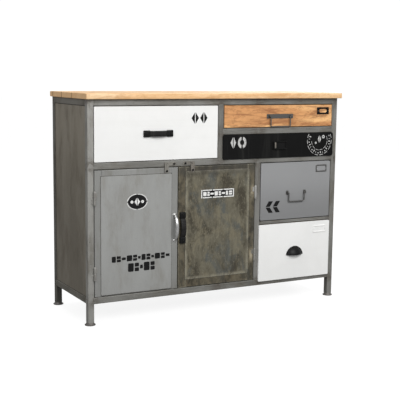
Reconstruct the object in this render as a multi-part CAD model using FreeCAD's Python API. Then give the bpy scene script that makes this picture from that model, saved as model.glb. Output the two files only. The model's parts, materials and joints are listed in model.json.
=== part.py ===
import FreeCAD, Part
import math
import os

# Sideboard buffet: a welded square-tube cabinet with a boarded wooden top, two hinged doors
# and five drawers. Millimetres. X runs along the front, +Y points to the back, +Z is up, and
# the origin is at the middle of the floor area that the whole piece covers.

Vector = FreeCAD.Vector

# ---- overall size ----
FRAME_WIDTH = 1160.0
FRAME_DEPTH = 390.0
FRAME_HEIGHT = 876.0
HANDLE_REACH = 30.0          # how far the furthest handle stands out of the frame's face
TOP_THICK = 22.0
TOP_SIDE_LIP = 10.0
TOP_FRONT_LIP = 20.0
BOARD_WIDTHS = (160.0, 112.0, 103.0)   # from the front; the last board takes what is left

# ---- steel stock ----
TUBE = 25.4
WALL = 1.5
TUBE_ROUND = 2.5
SHEET = 1.5
SHEET_INSET = 3.0            # side and back sheets sit this far inside the tube faces

# ---- feet ----
FOOT_RADIUS = 21.0
FOOT_PLATE = 4.0
FOOT_NECK = 15.0
FOOT_HEIGHT = 11.0

# ---- where the rails and posts stand ----
RAIL_BOTTOM = 84.0
RAIL_MIDDLE = 608.0
DIVIDER_UPPER = 729.3
DIVIDER_LOWER = 346.5
DIVIDER_LOWER_THICK = 12.0
SHELF_TOP = 350.0
FLOOR_TOP = 105.9
DECK_TOP = 629.5

FOOT_LIP = FOOT_RADIUS - TUBE / 2           # how far a foot disc shows outside the frame
FRONT = -(FRAME_DEPTH + FOOT_LIP - HANDLE_REACH) / 2
REAR = FRONT + FRAME_DEPTH
LEFT = -FRAME_WIDTH / 2
RIGHT = FRAME_WIDTH / 2
IN_LEFT = LEFT + TUBE
IN_RIGHT = RIGHT - TUBE
IN_FRONT = FRONT + TUBE
IN_REAR = REAR - TUBE
BAY = (IN_RIGHT - IN_LEFT - TUBE) / 3       # one lower bay
DOOR_SPLIT = IN_LEFT + BAY
POST_LOWER = IN_LEFT + 2 * BAY              # left face of the lower mullion
POST_UPPER = -TUBE / 2                      # left face of the upper mullion
FLOOR_RAIL_TOP = RAIL_BOTTOM + TUBE
MIDDLE_TOP = RAIL_MIDDLE + TUBE
TOP_RAIL = FRAME_HEIGHT - TUBE

# ---- tabs under the top ----
TAB = 30.0
TAB_THICK = 3.0
TAB_COLUMNS = (-380.0, 140.0, 420.0)
SCREW_RADIUS = 2.0
SCREW_DEPTH = 16.0           # into the wood

# ---- doors ----
DOOR_GAP = 2.5
DOOR_DEPTH = 12.0
LEFT_STILE = 30.0
RIGHT_STILE = 34.0
LEFT_SHEET = (26.0, 28.5, 4.0, 24.0)    # from the door's left, right, bottom and top edges
RIGHT_SHEET = (31.5, 28.0, 32.3, 18.5)
SHEET_CORNER = 5.0

# ---- hinges: weld-on barrels in two halves ----
BARREL = 5.0
PIN = 2.5
PIN_CLEAR = 0.05
HINGE_LENGTH = 50.0
HINGE_SPLIT = 0.3            # between the two halves of a barrel
HINGE_Y = FRONT - 5.5
LEAF_REACH = 11.0
LEAF_THICK = 2.0
LEFT_HINGES = (204.0, 498.0)
RIGHT_HINGES = (221.0, 486.0)
LEFT_HINGE_X = IN_LEFT + DOOR_GAP / 2
RIGHT_HINGE_X = POST_LOWER - DOOR_GAP / 2

# ---- door handles and the strap handle's sizes ----
BOW_X = -208.0
BOW_Z = 362.0
BOW_SPAN = 104.0
BOW_ROD = 4.5
BOW_FOOT = 7.5
STRAP_X = -173.6
STRAP_Z = 359.0
STRAP_BOLTS = 104.0          # between the bolts of a strap handle
STRAP_LENGTH = 127.0
STRAP_CAP = 26.0
STRAP_CAP_DEEP = 9.0
STRAP_WIDE = 23.0
STRAP_REACH = 18.5           # the strap's outside, at its middle
STRAP_INSIDE = 12.0          # the strap's inside, at its middle

# ---- latches ----
LATCH_Z = 592.0              # the pivot, on the door's top rail
KEEPER_Z = 620.0             # the keeper pin, on the middle rail
LATCH_WIDE = 17.0
LATCH_NEAR = 3.0             # the tab's back face, in front of the frame's face
LATCH_FAR = 4.5
LEFT_LATCH_X = -247.0
RIGHT_LATCH_X = -131.0
STUD_SPACING = 33.0
STUD_RADIUS = 4.5

# ---- drawer openings: left, right, bottom, top ----
WIDE_OPENING = (IN_LEFT, POST_UPPER, MIDDLE_TOP, TOP_RAIL)
WOOD_OPENING = (POST_UPPER + TUBE, IN_RIGHT, DIVIDER_UPPER + TUBE, TOP_RAIL)
BLACK_OPENING = (POST_UPPER + TUBE, IN_RIGHT, MIDDLE_TOP, DIVIDER_UPPER)
GREY_OPENING = (POST_LOWER + TUBE, IN_RIGHT, DIVIDER_LOWER + DIVIDER_LOWER_THICK, RAIL_MIDDLE)
LOW_OPENING = (POST_LOWER + TUBE, IN_RIGHT, FLOOR_RAIL_TOP, DIVIDER_LOWER)
WIDE_MIDDLE = (WIDE_OPENING[0] + WIDE_OPENING[1]) / 2
WOOD_MIDDLE = (WOOD_OPENING[0] + WOOD_OPENING[1]) / 2
GREY_MIDDLE = (GREY_OPENING[0] + GREY_OPENING[1]) / 2

# ---- drawer fronts ----
INSET_GAP = 2.5
GREY_GAP = 3.0
PAN_INSIDE = INSET_GAP + SHEET   # from an opening's edge to the inside of an inset pan
PAN_DEEP = 16.0
PAN_EDGE = 1.2               # the soft front edge of a pressed front
BLACK_PROUD = 5.5
BLACK_OVER = (5.0, 4.0, 6.4, -0.8)      # how far it covers the frame: left, right, low, top
LOW_PROUD = 8.0
LOW_OVER = (6.0, -4.0, 9.0, -3.0)

# ---- drawer boxes and slides ----
BOX_START = FRONT + 18.0     # the box's sides start here
BOX_END = REAR - 42.0
BOX_SIDE = 12.0
BOX_BASE = 4.0
BOX_FOOT = 8.0               # free height under a box
WIDE_HEAD = 30.0             # free height over each box
SHALLOW_HEAD = 18.0
GREY_HEAD = 40.0
LOW_HEAD = 34.0
SLIDE_ROOM = 13.0            # between the opening's edge and the box
SLIDE_START = FRONT + 20.0
SLIDE_END = REAR - 6.0
CHANNEL_HEIGHT = 36.0
CHANNEL_LIP = 9.0
RUNNER_HEIGHT = 28.0
RUNNER_LIP = 4.0             # the runner's lips end this far from the opening's edge

# ---- drawer handles and label holders ----
WOOD_BAIL_Z = 802.0
WOOD_BAIL_HALF = 47.5
WOOD_BAIL_DROP = 43.0
WOOD_BAIL_BEND = 4.0
WOOD_PLATE_HALF = 65.5
PLATE_THICK = 2.5
GREY_BAIL_Z = 475.0
GREY_BAIL_HALF = 38.5
GREY_BAIL_DROP = 38.0
GREY_BAIL_BEND = 8.0
BAIL_WIRE = 2.4
BAIL_CLEAR = 0.08
BAIL_END_BEND = 2.6
BAIL_STUB = 9.0              # the turned-out end of a bail
BAIL_OUT = 6.0               # the bail's axis, in front of the plate or base behind it
LUG_OFFSET = 6.0             # from the bail's side to the middle of the lug
LUG_WIDE = 5.0
LUG_TALL = 8.5
LABEL_DEEP = 3.0
CARD_PULL_X = WOOD_MIDDLE - 2.0
CARD_PULL_Z = 680.0
CUP_X = GREY_MIDDLE - 5.0
CUP_Z = 198.0
CUP_RADIUS = 41.0
CUP_DEEP = 21.0
CUP_WALL = 2.0
CUP_FLANGE = 44.0
CUP_OPEN = 6.0               # the cup is open below this height over its centre

os.makedirs("parts", exist_ok=True)


# ---- helpers ----
def save(node, *solids):
    """Write one node, as one solid or as a group of separate solids."""
    shape = solids[0] if len(solids) == 1 else Part.makeCompound(list(solids))
    shape.exportStep("parts/" + node + ".step")


def block(x0, x1, y0, y1, z0, z1):
    return Part.makeBox(x1 - x0, y1 - y0, z1 - z0, Vector(x0, y0, z0))


def edges_along(shape, axis):
    """The straight edges of a block that run along X, Y or Z."""
    direction = {"x": Vector(1, 0, 0), "y": Vector(0, 1, 0), "z": Vector(0, 0, 1)}[axis]
    found = []
    for edge in shape.Edges:
        run = edge.Vertexes[1].Point - edge.Vertexes[0].Point
        if abs(run.normalize().dot(direction)) > 0.99:
            found.append(edge)
    return found


def rounded_block(x0, x1, y0, y1, z0, z1, axis, radius):
    """A block whose four edges along one axis are rounded."""
    shape = block(x0, x1, y0, y1, z0, z1)
    return shape.makeFillet(radius, edges_along(shape, axis))


def square_tube(x0, x1, y0, y1, z0, z1, axis):
    """A hollow rectangular tube, open at its two ends."""
    outside = rounded_block(x0, x1, y0, y1, z0, z1, axis, TUBE_ROUND)
    dx = 0 if axis == "x" else WALL
    dy = 0 if axis == "y" else WALL
    dz = 0 if axis == "z" else WALL
    inside = block(x0 + dx, x1 - dx, y0 + dy, y1 - dy, z0 + dz, z1 - dz)
    return outside.cut(inside)


def disc(x, z, radius, y0, y1):
    """A round bar that lies along Y, from y0 back to y1."""
    return Part.makeCylinder(radius, y1 - y0, Vector(x, y0, z), Vector(0, 1, 0))


def bar_x(x0, x1, y, z, radius):
    return Part.makeCylinder(radius, x1 - x0, Vector(x0, y, z), Vector(1, 0, 0))


def bar_z(x, y, z0, z1, radius):
    return Part.makeCylinder(radius, z1 - z0, Vector(x, y, z0), Vector(0, 0, 1))


def bent_wire(points, radius, bend):
    """Round wire through the points, with every corner bent to the same radius."""
    edges = []
    start = points[0]
    for before, corner, after in zip(points, points[1:], points[2:]):
        way_in = (before - corner).normalize()
        way_out = (after - corner).normalize()
        half_turn = way_in.getAngle(way_out) / 2
        back = bend / math.tan(half_turn)
        middle = (way_in + way_out).normalize()
        centre = corner + middle * (bend / math.sin(half_turn))
        first = corner + way_in * back
        last = corner + way_out * back
        edges.append(Part.LineSegment(start, first).toShape())
        edges.append(Part.Arc(first, centre - middle * bend, last).toShape())
        start = last
    edges.append(Part.LineSegment(start, points[-1]).toShape())
    path = Part.Wire(edges)
    heading = (points[1] - points[0]).normalize()
    section = Part.Wire([Part.Circle(points[0], heading, radius).toShape()])
    return path.makePipeShell([section], True, True)


def pan(x0, x1, z0, z1, face, rim, corner):
    """A pressed sheet front: a flat face with four returned sides, open at the back."""
    outside = rounded_block(x0, x1, face, rim, z0, z1, "y", corner)
    front_loop = [e for e in outside.Edges if abs(e.BoundBox.YMax - face) < 0.01]
    outside = outside.makeFillet(PAN_EDGE, front_loop)
    inside = rounded_block(x0 + SHEET, x1 - SHEET, face + SHEET, rim, z0 + SHEET, z1 - SHEET,
                           "y", max(corner - SHEET, 0.5))
    return outside.cut(inside)


# ---- welded frame ----
def frame():
    floor_level = (RAIL_BOTTOM, FLOOR_RAIL_TOP)
    middle_level = (RAIL_MIDDLE, MIDDLE_TOP)
    top_level = (TOP_RAIL, FRAME_HEIGHT)
    for name, y0, y1 in (("front", FRONT, IN_FRONT), ("rear", IN_REAR, REAR)):
        save(name + "_legs",
             square_tube(LEFT, IN_LEFT, y0, y1, FOOT_HEIGHT, FRAME_HEIGHT, "z"),
             square_tube(IN_RIGHT, RIGHT, y0, y1, FOOT_HEIGHT, FRAME_HEIGHT, "z"))
        rails = [square_tube(IN_LEFT, IN_RIGHT, y0, y1, z0, z1, "x")
                 for z0, z1 in (floor_level, middle_level, top_level)]
        posts = [square_tube(POST_UPPER, POST_UPPER + TUBE, y0, y1, MIDDLE_TOP, TOP_RAIL, "z"),
                 square_tube(POST_LOWER, POST_LOWER + TUBE, y0, y1,
                             FLOOR_RAIL_TOP, RAIL_MIDDLE, "z")]
        if name == "front":
            save("front_rails", *rails)
            save("front_mullions", *posts)
        else:
            save("rear_rails", *rails, *posts)
    sides = []
    for x0, x1 in ((LEFT, IN_LEFT), (IN_RIGHT, RIGHT)):
        for z0, z1 in (floor_level, top_level):
            sides.append(square_tube(x0, x1, IN_FRONT, IN_REAR, z0, z1, "y"))
    save("side_rails", *sides)
    save("drawer_divider_rails",
         square_tube(POST_UPPER + TUBE, IN_RIGHT, FRONT, IN_FRONT,
                     DIVIDER_UPPER, DIVIDER_UPPER + TUBE, "x"),
         rounded_block(POST_LOWER + TUBE, IN_RIGHT, FRONT, IN_FRONT,
                       DIVIDER_LOWER, DIVIDER_LOWER + DIVIDER_LOWER_THICK, "x", 1.5))


def feet():
    discs = []
    centre = TUBE / 2
    for x in (LEFT + centre, RIGHT - centre):
        for y in (FRONT + centre, REAR - centre):
            plate = Part.makeCylinder(FOOT_RADIUS, FOOT_PLATE, Vector(x, y, 0))
            rim = [e for e in plate.Edges if e.Closed]
            plate = plate.makeFillet(0.8, rim)
            neck = Part.makeCone(FOOT_NECK + 2, FOOT_NECK, FOOT_HEIGHT - FOOT_PLATE,
                                 Vector(x, y, FOOT_PLATE))
            discs.append(plate.fuse(neck))
    save("foot_discs", *discs)


# ---- sheets, deck, shelf ----
def panels():
    side_low = FLOOR_RAIL_TOP
    save("side_panels",
         block(LEFT + SHEET_INSET, LEFT + SHEET_INSET + SHEET, IN_FRONT, IN_REAR,
               side_low, TOP_RAIL),
         block(RIGHT - SHEET_INSET - SHEET, RIGHT - SHEET_INSET, IN_FRONT, IN_REAR,
               side_low, TOP_RAIL))
    back0 = REAR - SHEET_INSET - SHEET
    back1 = REAR - SHEET_INSET
    save("back_panels",
         block(IN_LEFT, POST_UPPER, back0, back1, MIDDLE_TOP, TOP_RAIL),
         block(POST_UPPER + TUBE, IN_RIGHT, back0, back1, MIDDLE_TOP, TOP_RAIL),
         block(IN_LEFT, POST_LOWER, back0, back1, FLOOR_RAIL_TOP, RAIL_MIDDLE),
         block(POST_LOWER + TUBE, IN_RIGHT, back0, back1, FLOOR_RAIL_TOP, RAIL_MIDDLE))
    save("deck_panels",
         block(IN_LEFT, IN_RIGHT, IN_FRONT, IN_REAR, FLOOR_TOP - SHEET, FLOOR_TOP),
         block(IN_LEFT, IN_RIGHT, IN_FRONT, IN_REAR, DECK_TOP - SHEET, DECK_TOP))
    middle_lower = POST_LOWER + TUBE / 2
    save("partitions",
         block(-SHEET / 2, SHEET / 2, IN_FRONT, IN_REAR, DECK_TOP, TOP_RAIL),
         block(middle_lower - SHEET / 2, middle_lower + SHEET / 2, IN_FRONT, IN_REAR,
               FLOOR_TOP, DECK_TOP - SHEET))
    save("shelf",
         block(IN_LEFT, POST_LOWER, IN_FRONT + 4, IN_REAR, SHELF_TOP - SHEET, SHELF_TOP))


def tab_places():
    """Middles of the tabs that the top is screwed to, just inside the top rails."""
    half = TAB / 2
    places = []
    for x in TAB_COLUMNS:
        places.append((x, IN_FRONT + half))
        places.append((x, IN_REAR - half))
    middle = (FRONT + REAR) / 2
    places.append((IN_LEFT + half, middle))
    places.append((IN_RIGHT - half, middle))
    return places


def brackets():
    """Shelf angles, door stops and the tabs under the top."""
    pieces = []
    angle = 20.0
    under = SHELF_TOP - SHEET
    for x, way in ((IN_LEFT, 1), (POST_LOWER, -1)):
        wall = block(min(x, x + 2 * way), max(x, x + 2 * way), FRONT + 18, REAR - 8,
                     under - angle, under)
        ledge = block(min(x, x + angle * way), max(x, x + angle * way), FRONT + 18, REAR - 8,
                      under - 2, under)
        pieces.append(wall.fuse(ledge).removeSplitter())
    stop0 = FRONT + DOOR_DEPTH + 0.5
    for z0, z1 in ((FLOOR_RAIL_TOP, FLOOR_RAIL_TOP + 9), (RAIL_MIDDLE - 12, RAIL_MIDDLE)):
        pieces.append(block(IN_LEFT, POST_LOWER, stop0, stop0 + 3, z0, z1))
    for x, y in tab_places():
        plate = block(x - TAB / 2, x + TAB / 2, y - TAB / 2, y + TAB / 2,
                      FRAME_HEIGHT - TAB_THICK, FRAME_HEIGHT)
        hole = bar_z(x, y, FRAME_HEIGHT - TAB_THICK, FRAME_HEIGHT, 2.5)
        pieces.append(plate.cut(hole))
    save("welded_brackets", *pieces)


# ---- wooden top ----
def top():
    boards = []
    y0 = FRONT - TOP_FRONT_LIP
    edges = list(BOARD_WIDTHS) + [REAR - y0 - sum(BOARD_WIDTHS)]
    for width in edges:
        board = block(LEFT - TOP_SIDE_LIP, RIGHT + TOP_SIDE_LIP, y0, y0 + width,
                      FRAME_HEIGHT, FRAME_HEIGHT + TOP_THICK)
        board = board.makeFillet(1.2, board.Edges)
        for x, y in tab_places():
            if y0 < y < y0 + width:
                board = board.cut(bar_z(x, y, FRAME_HEIGHT, FRAME_HEIGHT + SCREW_DEPTH,
                                        SCREW_RADIUS))
        boards.append(board)
        y0 += width
    save("top_boards", *boards)
    screws = []
    for x, y in tab_places():
        under = FRAME_HEIGHT - TAB_THICK
        head = bar_z(x, y, under - 3, under, 4.5)
        shank = bar_z(x, y, under, FRAME_HEIGHT + SCREW_DEPTH, SCREW_RADIUS)
        screws.append(head.fuse(shank))
    save("top_screws", *screws)


# ---- doors ----
def knuckle(x, z0, z1, leaf_way, bore):
    """Half a barrel hinge: a sleeve with a leaf that lies flat on the steel beside it."""
    sleeve = bar_z(x, HINGE_Y, z0, z1, BARREL)
    tip = x + LEAF_REACH * leaf_way
    leaf = block(min(x, tip), max(x, tip), FRONT - LEAF_THICK, FRONT, z0 + 3, z1 - 3)
    return sleeve.fuse(leaf).cut(bar_z(x, HINGE_Y, z0, z1, bore))


def bolt(x, z, back, tip):
    """A pan-head bolt: its head is on the door's back face and it points to the front."""
    head = disc(x, z, 4.0, back, back + 2.5)
    shank = disc(x, z, 2.0, tip, back)
    return head.fuse(shank)


def door(side, x0, x1, stile, insets, handle_x, handle_bolts, latch_x, hinges, hinge_x,
         leaf_way):
    """One door: a tube frame, a raised sheet, its half of the hinges and its bolts."""
    z0 = FLOOR_RAIL_TOP + DOOR_GAP
    z1 = RAIL_MIDDLE - DOOR_GAP
    back = FRONT + DOOR_DEPTH
    tubes = []
    for edge0, edge1 in ((x0, x0 + stile), (x1 - stile, x1)):
        tube = square_tube(edge0, edge1, FRONT, back, z0, z1, "z")
        for z in handle_bolts:
            tube = tube.cut(disc(handle_x, z, 2.1, FRONT, back))
        tubes.append(tube)
    for edge0, edge1 in ((z0, z0 + stile), (z1 - stile, z1)):
        tubes.append(square_tube(x0 + stile, x1 - stile, FRONT, back, edge0, edge1, "x"))
    save(side + "_door_frame", *tubes)
    left, right, low, high = insets
    save(side + "_door_sheet", rounded_block(x0 + left, x1 - right, FRONT - SHEET, FRONT,
                                             z0 + low, z1 - high, "y", SHEET_CORNER))
    upper = [knuckle(hinge_x, z + HINGE_SPLIT, z + HINGE_LENGTH / 2, leaf_way, PIN + PIN_CLEAR)
             for z in hinges]
    save(side + "_door_knuckles", *upper)
    gap = 0.3
    spacer = disc(latch_x, LATCH_Z, STUD_RADIUS, FRONT - LATCH_NEAR + gap, FRONT)
    neck = disc(latch_x, LATCH_Z, PIN, FRONT - LATCH_FAR - gap, FRONT - LATCH_NEAR + gap)
    head = disc(latch_x, LATCH_Z, STUD_RADIUS, FRONT - LATCH_FAR - 2.5, FRONT - LATCH_FAR - gap)
    pivot = spacer.fuse(neck).fuse(head)
    bolts = [bolt(handle_x, z, back, FRONT - 5) for z in handle_bolts]
    save(side + "_door_fasteners", pivot, *bolts)


def hinges_on_frame():
    halves = []
    pins = []
    for x, way, levels in ((LEFT_HINGE_X, -1, LEFT_HINGES), (RIGHT_HINGE_X, 1, RIGHT_HINGES)):
        for z in levels:
            halves.append(knuckle(x, z - HINGE_LENGTH / 2, z - HINGE_SPLIT, way, PIN))
            pins.append(bar_z(x, HINGE_Y, z - HINGE_LENGTH / 2, z + HINGE_LENGTH / 2 - 2, PIN))
    save("hinge_frame_knuckles", *halves)
    save("hinge_pins", *pins)


def bow_handle():
    """A chromed rod bow on two round feet, upright on the left door's stile."""
    half = BOW_SPAN / 2
    reach = HANDLE_REACH - BOW_ROD
    foot = FRONT - 3
    low = Vector(BOW_X, foot, BOW_Z - half)
    high = Vector(BOW_X, foot, BOW_Z + half)
    crown = Vector(BOW_X, FRONT - reach, BOW_Z)
    arc = Part.Arc(low, crown, high).toShape()
    heading = arc.tangentAt(arc.FirstParameter)
    section = Part.Wire([Part.Circle(low, heading, BOW_ROD).toShape()])
    bow = Part.Wire([arc]).makePipeShell([section], True, True)
    for z in (BOW_Z - half, BOW_Z + half):
        bow = bow.fuse(disc(BOW_X, z, BOW_FOOT, FRONT - 6, FRONT))
    for z in (BOW_Z - half, BOW_Z + half):
        bow = bow.cut(disc(BOW_X, z, 2.0, FRONT - 5, FRONT))
    save("left_bow_handle", bow)


def strap_handle(cap_node, grip_node, x, z, upright, holes):
    """A trunk handle: two square caps and a thick strap that arches out between them."""
    half = STRAP_LENGTH / 2
    arch = half - STRAP_CAP
    crown = FRONT - STRAP_CAP_DEEP
    caps = []
    for way in (-1, 1):
        inner = arch * way
        outer = half * way
        piece = rounded_block(min(inner, outer), max(inner, outer), crown, FRONT,
                              -STRAP_CAP / 2, STRAP_CAP / 2, "y", 3.0)
        face = [e for e in piece.Edges if abs(e.BoundBox.YMax - crown) < 0.01]
        piece = piece.makeFillet(2.0, face)
        if holes:
            piece = piece.cut(disc(STRAP_BOLTS / 2 * way, 0, 2.0, FRONT - 5, FRONT))
        caps.append(piece)
    near = FRONT - 1.0
    far = FRONT - 7.5
    inside = Part.Arc(Vector(-arch, near, 0), Vector(0, FRONT - STRAP_INSIDE, 0),
                      Vector(arch, near, 0)).toShape()
    right = Part.LineSegment(Vector(arch, near, 0), Vector(arch, far, 0)).toShape()
    outside = Part.Arc(Vector(arch, far, 0), Vector(0, FRONT - STRAP_REACH, 0),
                       Vector(-arch, far, 0)).toShape()
    left = Part.LineSegment(Vector(-arch, far, 0), Vector(-arch, near, 0)).toShape()
    outline = Part.Face(Part.Wire([inside, right, outside, left]))
    outline.translate(Vector(0, 0, -STRAP_WIDE / 2))
    grip = outline.extrude(Vector(0, 0, STRAP_WIDE))
    long_edges = [e for e in grip.Edges if len(e.Vertexes) == 2 and e.Length > 60]
    grip = grip.makeFillet(1.8, long_edges)
    for piece in caps + [grip]:
        if upright:
            piece.rotate(Vector(0, 0, 0), Vector(0, 1, 0), 90)
        piece.translate(Vector(x, 0, z))
    save(cap_node, *caps)
    save(grip_node, grip)


# ---- latches ----
def latch_tab(node, x, way):
    """A turning tab. Its notch opens to one side, round the keeper pin. way is +1 or -1."""
    half = LATCH_WIDE / 2
    y0 = FRONT - LATCH_FAR
    y1 = FRONT - LATCH_NEAR
    tab = block(x - half, x + half, y0, y1, LATCH_Z, KEEPER_Z + 6)
    tab = tab.fuse(disc(x, LATCH_Z, half, y0, y1)).removeSplitter()
    tab = tab.cut(disc(x, LATCH_Z, PIN + PIN_CLEAR, y0, y1))
    clear = PIN + 0.3
    tab = tab.cut(disc(x, KEEPER_Z, clear, y0, y1))
    edge = x + (half + 1) * way
    notch = block(min(x, edge), max(x, edge), y0, y1, KEEPER_Z - clear - 1.5, KEEPER_Z + clear)
    tab = tab.cut(notch)
    save(node, tab)


def latch_keepers():
    pieces = []
    for x, way in ((LEFT_LATCH_X, 1), (RIGHT_LATCH_X, -1)):
        stud = x + STUD_SPACING * way
        low = min(x, stud) - 9
        high = max(x, stud) + 9
        strip = rounded_block(low, high, FRONT - SHEET, FRONT, KEEPER_Z - 7, KEEPER_Z + 7,
                              "y", 3.0)
        pin = disc(x, KEEPER_Z, PIN, FRONT - 6, FRONT - SHEET)
        knob = disc(stud, KEEPER_Z, STUD_RADIUS, FRONT - 5, FRONT - SHEET)
        pieces.append(strip.fuse(pin).fuse(knob))
    save("latch_keepers", *pieces)


# ---- drawers ----
CHANNELS = []


def slide_pair(opening, middle):
    """The fixed channel on each side of an opening, and the runner that slides in it."""
    runners = []
    for x, way in ((opening[0], 1), (opening[1], -1)):
        def slab(near, far, y0, y1, z0, z1):
            ends = (x + near * way, x + far * way)
            return block(min(ends), max(ends), y0, y1, z0, z1)
        tall = CHANNEL_HEIGHT / 2
        channel = slab(0, SHEET, SLIDE_START, SLIDE_END, middle - tall, middle + tall)
        for z in (middle - tall, middle + tall - SHEET):
            channel = channel.fuse(slab(SHEET, CHANNEL_LIP, SLIDE_START, SLIDE_END, z, z + SHEET))
        CHANNELS.append(channel.removeSplitter())
        low = RUNNER_HEIGHT / 2
        runner = slab(SLIDE_ROOM - SHEET, SLIDE_ROOM, BOX_START + 4, BOX_END,
                      middle - low, middle + low)
        for z in (middle - low, middle + low - SHEET):
            runner = runner.fuse(slab(RUNNER_LIP, SLIDE_ROOM - SHEET, BOX_START + 4, BOX_END,
                                      z, z + SHEET))
        runners.append(runner.removeSplitter())
    return runners


def core_board(outline, board_face, corner):
    """The board that fills a pressed front from behind. outline is x0, x1, z0, z1."""
    x0, x1, z0, z1 = outline
    return rounded_block(x0, x1, board_face, BOX_START, z0, z1, "y", corner)


def drawer_box(opening, head_room):
    """Four boards: two sides, the back and the base."""
    x0 = opening[0] + SLIDE_ROOM
    x1 = opening[1] - SLIDE_ROOM
    z0 = opening[2] + BOX_FOOT
    z1 = opening[3] - head_room
    left = block(x0, x0 + BOX_SIDE, BOX_START, BOX_END, z0, z1)
    right = block(x1 - BOX_SIDE, x1, BOX_START, BOX_END, z0, z1)
    back = block(x0 + BOX_SIDE, x1 - BOX_SIDE, BOX_END - BOX_SIDE, BOX_END, z0, z1)
    base = block(x0 + BOX_SIDE, x1 - BOX_SIDE, BOX_START, BOX_END - BOX_SIDE,
                 z0 + 4, z0 + 4 + BOX_BASE)
    return [left, right, back, base]


def inset(opening, gap):
    return (opening[0] + gap, opening[1] - gap, opening[2] + gap, opening[3] - gap)


def over(opening, cover):
    """An opening's outline made larger by how far a front covers the frame on each side."""
    return (opening[0] - cover[0], opening[1] + cover[1],
            opening[2] - cover[2], opening[3] + cover[3])


def wide_drawer():
    save("wide_drawer_front", pan(*inset(WIDE_OPENING, INSET_GAP), FRONT, FRONT + PAN_DEEP, 3.0))
    save("wide_drawer_box", core_board(inset(WIDE_OPENING, PAN_INSIDE), FRONT + SHEET, 3.0),
         *drawer_box(WIDE_OPENING, WIDE_HEAD))
    save("wide_drawer_runners", *slide_pair(WIDE_OPENING, WIDE_OPENING[2] + 70))
    strap_handle("wide_drawer_grip_caps", "wide_drawer_grip", WIDE_MIDDLE,
                 (WIDE_OPENING[2] + WIDE_OPENING[3]) / 2 - 1, False, False)


def label_holder(x, z, wide, tall, face, corner, lip):
    """A card frame: a thin plate with a raised rim and a rounded window."""
    half_wide = wide / 2
    half_tall = tall / 2
    plate = rounded_block(x - half_wide, x + half_wide, face - LABEL_DEEP, face,
                          z - half_tall, z + half_tall, "y", corner)
    window = rounded_block(x - half_wide + lip, x + half_wide - lip, face - LABEL_DEEP, face - 1,
                           z - half_tall + lip, z + half_tall - lip, "y", corner)
    return plate.cut(window)


def lug(x, z, base_face):
    """An eye that holds one end of a bail: a block with a rounded nose and a cross hole."""
    y = base_face - BAIL_OUT
    x0 = x - LUG_WIDE / 2
    x1 = x + LUG_WIDE / 2
    nose = bar_x(x0, x1, y, z, LUG_TALL / 2)
    body = block(x0, x1, y, base_face, z - LUG_TALL / 2, z + LUG_TALL / 2)
    hole = bar_x(x0, x1, y, z, BAIL_WIRE + BAIL_CLEAR)
    return nose.fuse(body).cut(hole).removeSplitter()


def bail(x, y, z, half, drop, bend):
    """A wire loop that hangs down. Its two ends turn outwards into the lugs."""
    low = z - drop
    middle = z - drop / 2
    loop = bent_wire([Vector(x - half, y, middle), Vector(x - half, y, low),
                      Vector(x + half, y, low), Vector(x + half, y, middle)], BAIL_WIRE, bend)
    for way in (-1, 1):
        side = x + half * way
        end = bent_wire([Vector(side + BAIL_STUB * way, y, z), Vector(side, y, z),
                         Vector(side, y, middle)], BAIL_WIRE, BAIL_END_BEND)
        loop = loop.fuse(end)
    return loop.removeSplitter()


def wood_drawer():
    x0, x1, z0, z1 = inset(WOOD_OPENING, INSET_GAP)
    board = block(x0, x1, FRONT, BOX_START, z0, z1)
    loop = [e for e in board.Edges if abs(e.BoundBox.YMax - FRONT) < 0.01]
    save("wood_drawer_front", board.makeFillet(1.5, loop))
    save("wood_drawer_box", *drawer_box(WOOD_OPENING, SHALLOW_HEAD))
    save("wood_drawer_runners", *slide_pair(WOOD_OPENING, (z0 + z1) / 2 - 4))
    save("wood_label_holder", label_holder(504.0, 822.5, 62, 30, FRONT, 4.0, 6.0))
    face = FRONT - PLATE_THICK
    plate = rounded_block(WOOD_MIDDLE - WOOD_PLATE_HALF, WOOD_MIDDLE + WOOD_PLATE_HALF,
                          face, FRONT, WOOD_BAIL_Z - 9, WOOD_BAIL_Z + 9, "y", 2.0)
    for way in (-1, 1):
        x = WOOD_MIDDLE + (WOOD_BAIL_HALF + LUG_OFFSET) * way
        plate = plate.fuse(lug(x, WOOD_BAIL_Z, face))
    save("wood_bail_plate", plate.removeSplitter())
    save("wood_bail", bail(WOOD_MIDDLE, face - BAIL_OUT, WOOD_BAIL_Z, WOOD_BAIL_HALF,
                           WOOD_BAIL_DROP, WOOD_BAIL_BEND))


def black_drawer():
    face = FRONT - BLACK_PROUD
    middle = (BLACK_OPENING[2] + BLACK_OPENING[3]) / 2
    save("black_drawer_front", pan(*over(BLACK_OPENING, BLACK_OVER), face, FRONT - 0.5, 9.0))
    save("black_drawer_box", core_board(inset(BLACK_OPENING, PAN_INSIDE), face + SHEET, 3.0),
         *drawer_box(BLACK_OPENING, SHALLOW_HEAD))
    save("black_drawer_runners", *slide_pair(BLACK_OPENING, middle - 4))
    card_pull(CARD_PULL_X, CARD_PULL_Z, face)


def card_pull(x, z, face):
    """A deep card frame with a finger groove under its lower edge."""
    half_wide = 33.5
    half_tall = 17.5
    deep = 9.0
    body = rounded_block(x - half_wide, x + half_wide, face - deep, face,
                         z - half_tall, z + half_tall, "y", 2.5)
    recess = block(x - half_wide + 5, x + half_wide - 5, face - deep, face - deep + 3,
                   z - half_tall + 8, z + half_tall - 5)
    groove = bar_x(x - half_wide + 4, x + half_wide - 4, face - 3, z - half_tall, 4.5)
    save("black_card_pull", body.cut(recess).cut(groove))


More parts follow.
